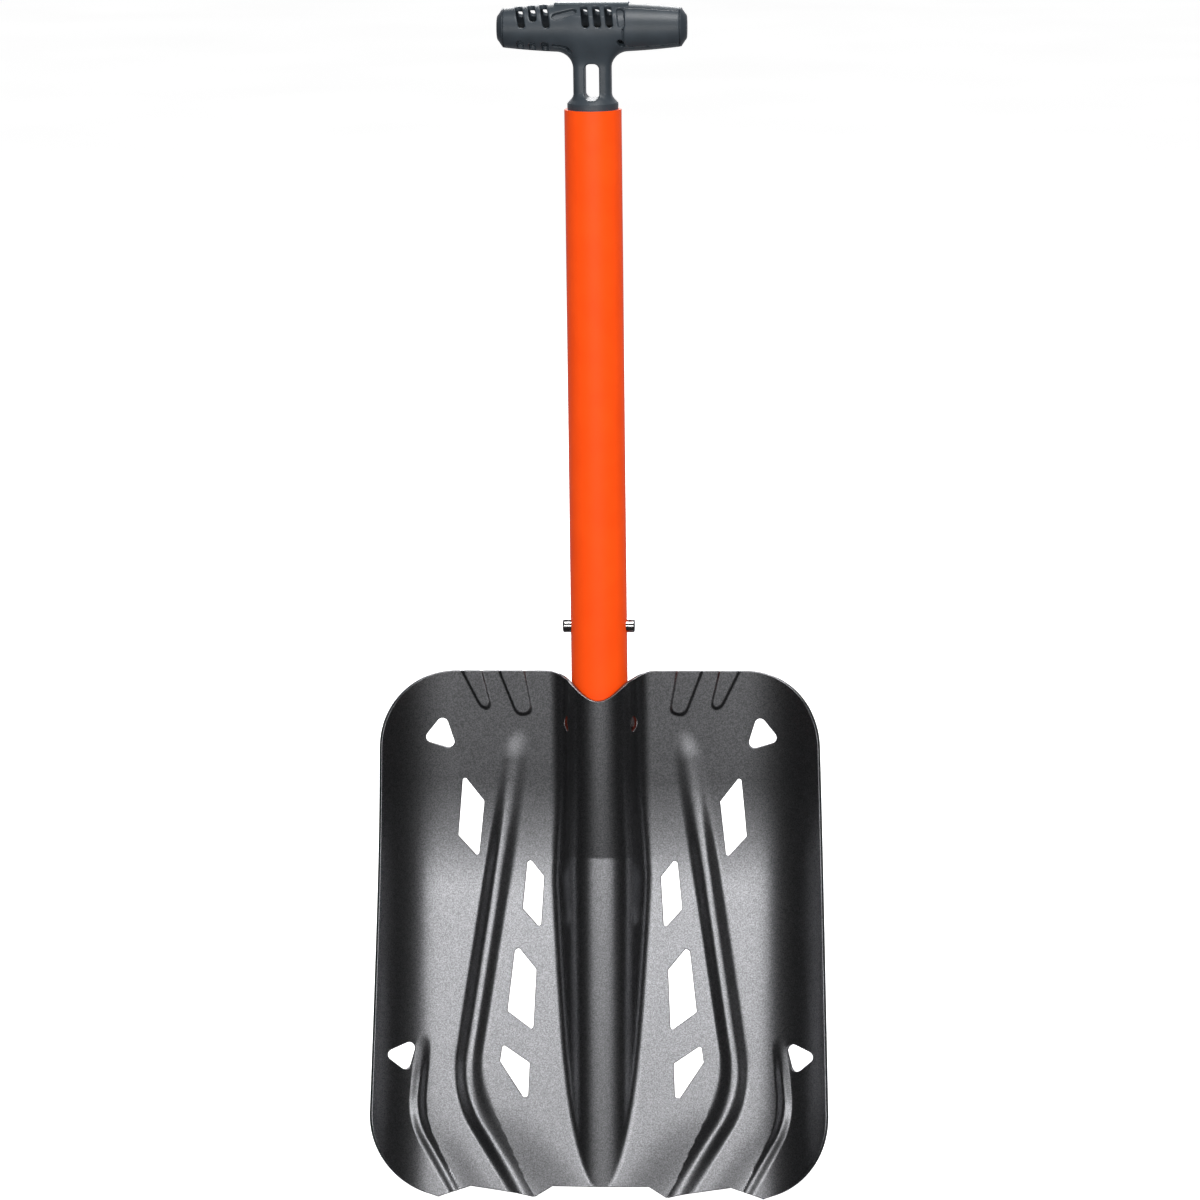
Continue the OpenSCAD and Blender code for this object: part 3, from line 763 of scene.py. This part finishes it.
def blade_grid():
    """Columns closest at the gutter's walls, rows along the ribs, and finer
    points round the lugs."""
    wall = np.concatenate([np.arange(0.7, 13, 1.4), np.arange(13, 28, 0.8),
                           np.arange(28.5, BLADE_W / 2, 1.35)])
    u, v = np.meshgrid(wall, np.arange(0, BLADE_H + 2, ROW))
    grid = np.stack([u.ravel(), v.ravel()], 1)
    lug_u, lug_v = np.meshgrid(np.arange(34, 80, 0.62), np.arange(254, BLADE_H + 2, 0.62))
    lug = np.stack([lug_u.ravel(), lug_v.ravel()], 1)
    close = np.zeros(len(lug), bool)
    for corners in LUGS:
        close |= np.abs(in_lug(lug[:, 0], lug[:, 1], corners)) < 2.0
    small = along_rib(SMALL_TOP, SMALL_BEND, SMALL_LOW, SMALL_TURN, 5.4, 0.6)
    big = along_rib(RIB_TOP, RIB_BEND, RIB_LOW, RIB_TURN, 9.6, 0.8)
    placed = [lug[close]]
    for more in (small, big, grid):
        placed.append(more[~near(more, placed, 0.75)])
    right = np.concatenate(placed)
    rows = int(BLADE_H / ROW) + 1
    middle = np.stack([np.zeros(rows), np.arange(rows) * ROW], 1)
    return np.concatenate([right, right * (-1, 1), middle])


def make_blade():
    half = half_outline()
    outline = half + [(-x, s) for x, s in reversed(half[1:-1])]
    loops = [divided(rounded(c, CORNER_HOLE_ROUND), HOLE_STEP) for c in CORNER_HOLES]
    loops += [divided(rounded(c, WINDOW_ROUND), HOLE_STEP) for c in WINDOWS]
    loops = [loop * (1, BLADE_H / PATTERN_H) for loop in loops]
    loops.append(lock_hole_loop())
    loops += [mirrored(loop) for loop in loops]
    blade = sheet_metal("blade_sheet", blade_surface, divided(outline, OUTLINE_STEP),
                        loops, blade_grid(), SHEET_T, BLADE_EDGE)
    finish_piece(blade, "blade", "anodised_blade", BLADE_METAL, "blade")


make_blade()


# ------------------------------------------------------------ socket bracket

BRACKET_W, BRACKET_T = 76.0, 2.5
FLANGE_LOW = SEAT_LOW + 2
FLANGE_TOP = BEND_TOP + 44
JOIN_GAP = 0.05
CUP_L = 14.0
BRACKET_ROUND, BRACKET_EDGE = 8.0, 0.5
TONGUE_W, TONGUE_L = 17.0, 13.0


def bracket_surface(x, s):
    """Back face of the bracket: flanges, with the socket's round back between."""
    slope = (sheet_rise(s + 0.2) - sheet_rise(s - 0.2)) / 0.4
    down = (SHEET_T + JOIN_GAP + BRACKET_T) / np.sqrt(1 + slope ** 2)
    at = from_blade(x, s + slope * down, sheet_rise(s) - down)
    y, z = at[..., 1], at[..., 2]
    reach = SOCKET_R + BRACKET_T
    sunk = np.clip((SEAT_Z - z) / CUP_L, 0, 1)
    r = reach * np.sqrt(np.maximum(1 - sunk ** 2, 0))
    round_y = SHAFT_Y + np.sqrt(np.maximum(r * r - x * x, 0)) - 60 * (np.abs(x) >= r)
    at[..., 1] = round_max(y, round_y, 3.0)
    return at


def bracket_back(x, s):
    """The same face with x reversed, so that its normal points backward and the
    sheet's thickness goes forward from it."""
    return bracket_surface(-x, s)


def make_bracket():
    half = BRACKET_W / 2
    tongue = [(TONGUE_W * cos(a), FLANGE_LOW - TONGUE_L * sin(a))
              for a in np.linspace(pi * 0.97, pi * 0.03, 16)]
    corners = rounded([(-half, FLANGE_LOW), (-half, FLANGE_TOP), (half, FLANGE_TOP),
                       (half, FLANGE_LOW)], BRACKET_ROUND)
    # The tongue joins the lower edge between its two rounded corners
    split = 7
    outline = np.array(corners[split:] + tongue[::-1] + corners[:split])
    grid_x = np.arange(-half, half + 0.1, 1.3)
    grid_s = np.arange(FLANGE_LOW - 15, FLANGE_TOP + 1, 1.5)
    u, v = np.meshgrid(grid_x, grid_s)
    grid = np.stack([u.ravel(), v.ravel()], 1)
    piece = sheet_metal("socket_plate", bracket_back, divided(outline, 1.2), [], grid,
                        BRACKET_T - 0.02, BRACKET_EDGE)
    finish_piece(piece, "blade", "anodised_bracket", BRACKET_METAL, "socket_bracket")


make_bracket()


# --------------------------------------------------------------- weld beads

# Length of one ripple, length of the bead's tapered ends, and mesh divisions
RIPPLE, BEAD_END = 1.9, 2.2
BEAD_ROWS, BEAD_COLS = 150, 12


def make_bead(name, side):
    """Fillet weld with overlapping ripples along a flange's edge."""
    low, high = box_mm(name)
    inner = low[0] if side > 0 else high[0]
    leg = high[0] - low[0]
    rows, cols = BEAD_ROWS, BEAD_COLS
    points = []
    for i in range(rows + 1):
        t = i / rows
        z = low[2] + (high[2] - low[2]) * t
        end = min(1.0, (min(t, 1 - t) * (high[2] - low[2]) / BEAD_END + 0.03)) ** 0.5
        for j in range(cols + 1):
            a = pi / 2 * j / cols
            phase = ((z + 1.3 * sin(2 * a)) % RIPPLE) / RIPPLE
            r = leg * end * (0.86 + 0.14 * (1 - (2 * phase - 1) ** 2))
            points.append((inner + side * r * cos(a), low[1] + r * sin(a), z))
    n = cols + 1
    faces = []
    for i in range(rows):
        for j in range(cols):
            quad = (i * n + j, i * n + j + 1, (i + 1) * n + j + 1, (i + 1) * n + j)
            faces.append(quad if side < 0 else quad[::-1])
    root = len(points)
    points += [(inner, low[1], low[2]), (inner, low[1], high[2])]
    for i in range(rows):
        first, last = (i * n, (i + 1) * n), (i * n + cols, (i + 1) * n + cols)
        tri = (first[0], first[1], root), (last[0], last[1], root)
        faces += [tri[0] if side < 0 else tri[0][::-1], tri[1][::-1] if side < 0 else tri[1]]
    top = [(rows * n + j, rows * n + j + 1, root + 1) for j in range(cols)]
    bottom = [(j + 1, j, root) for j in range(cols)]
    close = [(rows * n, root + 1, root), (rows * n + cols, root, root + 1)]
    faces += [f if side < 0 else f[::-1] for f in top + bottom + close]
    piece = new_object(name + "_ripples", points, faces)
    finish_piece(piece, "blade", "weld", WELD_METAL, name)


make_bead("left_weld_bead", -1)
make_bead("right_weld_bead", 1)


# -------------------------------------------------------------------- shaft

for node, material in (("shaft_tube", ORANGE), ("tube_end_plug", PLUG_PLASTIC),
                       ("snap_spring", SPRING_METAL), ("left_button", BUTTON_METAL),
                       ("right_button", BUTTON_METAL), ("grip_rivet", RIVET_METAL)):
    recoat(node, material)


# --------------------------------------------------------------------- grip

GRIP_D, GRIP_END_D, GRIP_WALL = 26.0, 20.6, 2.6
BARREL_L = GRIP_HIGH[0] - GRIP_LOW[0]
GRIP_Z = (box_mm("right_grip_cap")[0][2] + box_mm("right_grip_cap")[1][2]) / 2
GRIP_RISE = GRIP_Z - TUBE_TOP
GRIP_SAG = (GRIP_D - GRIP_END_D) / 2
GRIP_ARC_R = (BARREL_L ** 2 / 4 + GRIP_SAG ** 2) / (2 * GRIP_SAG)
NECK_W, NECK_T = 19.8, 15.0
NECK_ROUND, NECK_FOOT, NECK_FILLET = 4.2, 4.5, 8.6
# The collar and the spigot under it share one radius, inside the tube's bore
COLLAR_R = SHAFT_R - 1.65
COLLAR_H, COLLAR_STRAIGHT, COLLAR_SLOPE, COLLAR_FILLET = 8.0, 3.2, 0.93, 1.4
SPIGOT_WALL, SPIGOT_L = 3.0, 40.0
SLOT_W, SLOT_H, SLOT_MID = 7.6, 18.6, 14.7
# Smooth panel: middle along and around the barrel, half sizes, corner radius
PANEL = (31.6, 0.6, 14.6, 12.4, 2.6)
PANEL_RISE = 0.3


def grip_radius(x):
    return GRIP_D / 2 - GRIP_ARC_R + np.sqrt(np.maximum(GRIP_ARC_R ** 2 - x * x, 1))


def grip_shape(x, y, z):
    """Distance to the moulded grip: x along it, y back, z up from its axis."""
    rho = np.hypot(y, z)
    radius = grip_radius(x)
    around = np.arctan2(z, -y) * GRIP_D / 2
    panel = round_box(x - PANEL[0], around - PANEL[1], *PANEL[2:])
    skin_r = radius + PANEL_RISE * ease(-panel / 1.2)
    barrel = np.maximum(rho - skin_r, np.abs(x) - BARREL_L / 2)
    neck = round_box(x, y, NECK_W / 2, NECK_T / 2, NECK_ROUND)
    neck = np.maximum(np.maximum(neck, z - 2), -(z + GRIP_RISE - NECK_FOOT))
    low = z + GRIP_RISE
    cone = np.clip(low - COLLAR_STRAIGHT, 0, 9) * COLLAR_SLOPE
    collar = np.hypot(x, y) - COLLAR_R + cone
    collar = np.maximum(np.maximum(collar, 0.02 - low), low - COLLAR_H) * 0.8
    body = round_join(barrel, round_join(neck, collar, COLLAR_FILLET), NECK_FILLET)
    slot = round_box(x, low - SLOT_MID, SLOT_W / 2, SLOT_H / 2, 2.9)
    slot = np.maximum(slot, np.abs(y) - 12)
    body = round_cut(body, slot, 0.75)
    hollow = np.maximum(rho - radius + GRIP_WALL, np.abs(x) - BARREL_L / 2 - 3)
    body = round_cut(body, hollow, 0.3)
    return cut_slots(body, x, around, rho, radius, panel)


def arc_slot(x, around, at, low, high, lean=0.0):
    """Slot across the barrel at distance at, between two angles in degrees."""
    middle = radians(low + high) / 2 * GRIP_D / 2
    half = radians(high - low) / 2 * GRIP_D / 2 - SLOT_WIDTH / 2
    return stadium(around - middle, x - at + lean * (around - middle), half, SLOT_WIDTH / 2)


def turned_slot(x, around, at, length, width, turn):
    """Short slot centred at a place on the barrel's skin and turned on it."""
    u, v = x - at[0], around - at[1]
    along = u * cos(radians(turn)) + v * sin(radians(turn))
    across = v * cos(radians(turn)) - u * sin(radians(turn))
    return stadium(along, across, (length - width) / 2, width / 2)


SLOT_WIDTH = 3.6
# Place along the grip, lowest and highest angle, and lean of each open slot
OPEN_SLOTS = ([(x, low, high, lean) for x in (-37.0, -24.1)
               for low, high, lean in ((3, 78, 0.14), (-76, -34, 0.0), (102, 144, 0.0))]
              + [(-30.7, 20, 78, 0.14), (-30.7, -76, -38, 0.0), (-30.7, 102, 144, 0.0)]
              + [(x, low, high, lean) for x in (-3.2, 3.0, 9.2)
                 for low, high, lean in ((3, 64, 0.12), (116, 146, 0.0))])
THIN_SLOTS = (((-16.2, -10.6), 8.6, 1.7, -6), ((-11.6, -12.2), 3.4, 1.9, -52),
              ((15.4, -8.6), 5.0, 2.6, -62), ((19.6, -11.4), 6.0, 1.5, -8))
RECESS = ((-13.8, 8.6), 13.2, 4.2, 18)


def nearest(distances):
    out = distances[0]
    for d in distances[1:]:
        out = np.minimum(out, d)
    return out


def cut_slots(body, x, around, rho, radius, panel):
    """Open slots, shallow recesses and the groove round the smooth panel."""
    cuts = nearest([arc_slot(x, around, *slot) for slot in OPEN_SLOTS]
                   + [turned_slot(x, around, *slot) for slot in THIN_SLOTS])
    body = round_cut(body, np.maximum(cuts, 5 - rho), 0.7)
    shallow = np.minimum(turned_slot(x, around, *RECESS),
                         arc_slot(x, around, 15.6, 3, 56, 0.1))
    body = round_cut(body, np.maximum(shallow, radius - 1.7 - rho), 0.5)
    groove = np.maximum(np.abs(panel - 0.3) - 0.4, radius - 0.7 - rho)
    return round_cut(body, groove, 0.3)


def make_grip():
    grip = skin("grip_moulding", grip_shape, (-47.0, -15.2, -GRIP_RISE - 1.0),
                (47.0, 15.2, 15.2), 0.55)
    place(grip, Matrix.Translation((0, SHAFT_Y * MM, GRIP_Z * MM)))
    finish_piece(grip, "shaft", "grip_plastic", GRIP_PLASTIC, "grip_body")
    bore = COLLAR_R - SPIGOT_WALL
    spigot = lathe("grip_spigot", [(0.0, -2.2), (bore, -2.2), (bore, 0.4 - SPIGOT_L),
                                   (bore + 0.4, -SPIGOT_L), (COLLAR_R - 0.6, -SPIGOT_L),
                                   (COLLAR_R, 0.6 - SPIGOT_L), (COLLAR_R, 0.3), (0.0, 0.3)])
    place(spigot, Matrix.Translation((0, SHAFT_Y * MM, TUBE_TOP * MM)))
    finish_piece(spigot, "shaft", "grip_plastic", GRIP_PLASTIC)


def make_cap(node, side):
    """End cap: a plug inside the barrel, a crisp bevel and a flat end."""
    low, high = box_mm(node)
    half = high[0] if side > 0 else -low[0]
    joint = BARREL_L / 2
    end_r = GRIP_END_D / 2
    plug_r = end_r - GRIP_WALL - JOIN_GAP
    profile = [(0, joint - 6), (plug_r - 0.4, joint - 6), (plug_r, joint - 5.6), (plug_r, joint),
               (end_r - 0.5, joint), (end_r - 0.12, joint + 0.1), (end_r - 0.05, joint + 0.35),
               (end_r - 0.3, joint + 0.75), (6.9, half - 0.75), (6.45, half - 0.35),
               (6.0, half - 0.12), (5.5, half), (5.2, half), (4.9, half - 0.18), (0, half - 0.18)]
    cap = lathe(node + "_moulding", profile, 128)
    place(cap, Matrix.Translation((0, SHAFT_Y * MM, GRIP_Z * MM))
          @ Matrix.Rotation(side * pi / 2, 4, "Y"))
    finish_piece(cap, "shaft", "cap_plastic", CAP_PLASTIC, node)


# Rounding of the strip's upper edge, its depth there, and the strip's crown
STRIP_EDGE, STRIP_DROP, STRIP_CROWN = 0.6, 0.5, 0.25


def make_plate():
    """Smooth strip set into the top of the grip, crowned along its width."""
    low, high = PLATE_LOW, PLATE_HIGH
    rows, cols = 48, 16
    points = []
    for i in range(rows + 1):
        for j in range(cols + 1):
            u, v = i / rows, j / cols
            edge_u = min(u, 1 - u) * (high[0] - low[0])
            edge_v = min(v, 1 - v) * (high[1] - low[1])
            drop = (STRIP_DROP * max(0, 1 - edge_u / STRIP_EDGE) ** 2
                    + STRIP_DROP * max(0, 1 - edge_v / STRIP_EDGE) ** 2)
            crown = STRIP_CROWN * (2 * v - 1) ** 2
            points.append((low[0] + u * (high[0] - low[0]), low[1] + v * (high[1] - low[1]),
                           high[2] - crown - min(drop, 0.6)))
    n = cols + 1
    faces = [(i * n + j, (i + 1) * n + j, (i + 1) * n + j + 1, i * n + j + 1)
             for i in range(rows) for j in range(cols)]
    rim = ([j for j in range(cols)] + [i * n + cols for i in range(rows)]
           + [rows * n + cols - j for j in range(cols)] + [(rows - i) * n for i in range(rows)])
    base = len(points)
    points += [(points[k][0], points[k][1], low[2]) for k in rim]
    m = len(rim)
    faces += [(rim[k], rim[(k + 1) % m], base + (k + 1) % m, base + k) for k in range(m)]
    faces.append(tuple(base + k for k in range(m)))
    piece = new_object("grip_top_strip", points, faces)
    bm = bmesh.new()
    bm.from_mesh(piece.data)
    bmesh.ops.recalc_face_normals(bm, faces=bm.faces)
    bm.to_mesh(piece.data)
    bm.free()
    finish_piece(piece, "shaft", "plate_plastic", PLATE_PLASTIC, "grip_top_plate")


make_grip()
make_cap("left_grip_cap", -1)
make_cap("right_grip_cap", 1)
make_plate()


# -------------------------------------------------------------------- stage

# Half the floor's side and its drop below the part, in metres, and its own light
FLOOR_HALF, FLOOR_DROP, FLOOR_GLOW = 14.0, 0.0002, 0.64


def make_floor():
    """A plain pale floor that is lit but leaves the metal's reflections alone."""
    half = FLOOR_HALF
    mesh = bpy.data.meshes.new("floor")
    mesh.from_pydata([(-half, -half, 0), (half, -half, 0), (half, half, 0), (-half, half, 0)],
                     [], [(0, 1, 2, 3)])
    floor = linked("floor", mesh)
    floor.location.z = min(CAD_BOX[0][2], 0) - FLOOR_DROP
    mat, tree, shader = nodes_of("floor_paper")
    shader.inputs["Roughness"].default_value = 0.9
    shader.inputs["Specular IOR Level"].default_value = 0.1
    paper = ramp(tree, noise(tree, 3, 1.0), ((0.3, grey(0.90)), (0.7, grey(0.92))))
    tree.links.new(paper, shader.inputs["Base Color"])
    tree.links.new(paper, shader.inputs["Emission Color"])
    shader.inputs["Emission Strength"].default_value = FLOOR_GLOW
    mesh.materials.append(mat)
    floor.visible_glossy = False
    floor.visible_diffuse = False


def aim(azimuth, elevation):
    """Unit vector towards a direction: azimuth 0 is the scoop side."""
    a, e = radians(azimuth), radians(elevation)
    return Vector((sin(a) * cos(e), -cos(a) * cos(e), sin(e)))


def softbox(name, azimuth, elevation, distance, size, power, target):
    """Soft lamp seen from the target in a given direction, in degrees and metres."""
    data = bpy.data.lights.new(name, "AREA")
    data.shape, data.size, data.size_y = "RECTANGLE", size[0], size[1]
    data.energy = power
    lamp = linked(name, data)
    way = aim(azimuth, elevation)
    lamp.location = Vector(target) + way * distance
    lamp.rotation_euler = way.to_track_quat("Z", "Y").to_euler()
    lamp.visible_camera = False


def make_world():
    """Even pale surroundings. Metal mirrors them as dark in front, which shapes
    the scoop, and as a pale wall behind, which shows the back."""
    world = bpy.data.worlds.new("studio")
    bpy.context.scene.world = world
    world.use_nodes = True
    tree = world.node_tree
    tree.nodes.clear()
    out = tree.nodes.new("ShaderNodeOutputWorld")
    even = add(tree, "ShaderNodeBackground", Color=grey(1.0), Strength=0.45)
    mirrored_light = add(tree, "ShaderNodeBackground", Color=grey(1.0, (0.96, 0.98, 1.05)))
    way = add(tree, "ShaderNodeTexCoord")
    split = add(tree, "ShaderNodeSeparateXYZ")
    tree.links.new(way.outputs["Generated"], split.inputs["Vector"])
    behind = add(tree, "ShaderNodeMapRange", interpolation_type="SMOOTHSTEP")
    for socket, value in (("From Min", 0.25), ("From Max", 0.9), ("To Min", 0.02), ("To Max", 0.5)):
        behind.inputs[socket].default_value = value
    tree.links.new(split.outputs["Y"], behind.inputs["Value"])
    tree.links.new(behind.outputs["Result"], mirrored_light.inputs["Strength"])
    path = add(tree, "ShaderNodeLightPath")
    mix = add(tree, "ShaderNodeMixShader")
    tree.links.new(path.outputs["Is Glossy Ray"], mix.inputs["Fac"])
    tree.links.new(even.outputs["Background"], mix.inputs[1])
    tree.links.new(mirrored_light.outputs["Background"], mix.inputs[2])
    tree.links.new(mix.outputs["Shader"], out.inputs["Surface"])
    bpy.context.scene.view_settings.view_transform = "Standard"


KEY_WIDTHS, KEY_H, KEY_POWER = (1.0, 2.4, 4.2), 0.42, 19


def make_lights():
    """The key is a wide low strip, brightest in the middle."""
    for width in KEY_WIDTHS:
        softbox(f"key_{width}", azimuth=3, elevation=9.5, distance=3.2, size=(width, KEY_H),
                power=KEY_POWER * width * KEY_H, target=(0, 0, 0.16))
    softbox("overhead", azimuth=20, elevation=62, distance=2.2, size=(1.2, 0.8),
            power=36, target=(0, 0, 0.4))
    softbox("back", azimuth=184, elevation=34, distance=3.0, size=(1.8, 1.2),
            power=60, target=(0, 0, 0.2))


# The camera fitted to the photograph: direction and roll in degrees, metres,
# focal length and frame in pixels
VIEW_AZIMUTH, VIEW_ELEVATION, VIEW_ROLL = 3.76, 11.17, -0.67
VIEW_DISTANCE, FOCAL_PX, FRAME_PX = 2.72525, 5125.7, 1200
VIEW_TARGET = (0.0007, SHAFT_Y * MM, 0.31835)


def make_camera():
    azimuth, roll = radians(VIEW_AZIMUTH), radians(VIEW_ROLL)
    back = aim(VIEW_AZIMUTH, VIEW_ELEVATION)
    right = Vector((cos(azimuth), sin(azimuth), 0))
    up = back.cross(right)
    turned_right = right * cos(roll) + up * sin(roll)
    turned_up = up * cos(roll) - right * sin(roll)
    data = bpy.data.cameras.new("camera")
    data.sensor_width = 36
    data.lens = FOCAL_PX / FRAME_PX * data.sensor_width
    camera = linked("camera", data)
    camera.matrix_world = Matrix.Translation(Vector(VIEW_TARGET) + back * VIEW_DISTANCE) @ Matrix(
        (turned_right, turned_up, back)).transposed().to_4x4()
    bpy.context.scene.camera = camera


make_floor()
make_world()
make_lights()
make_camera()
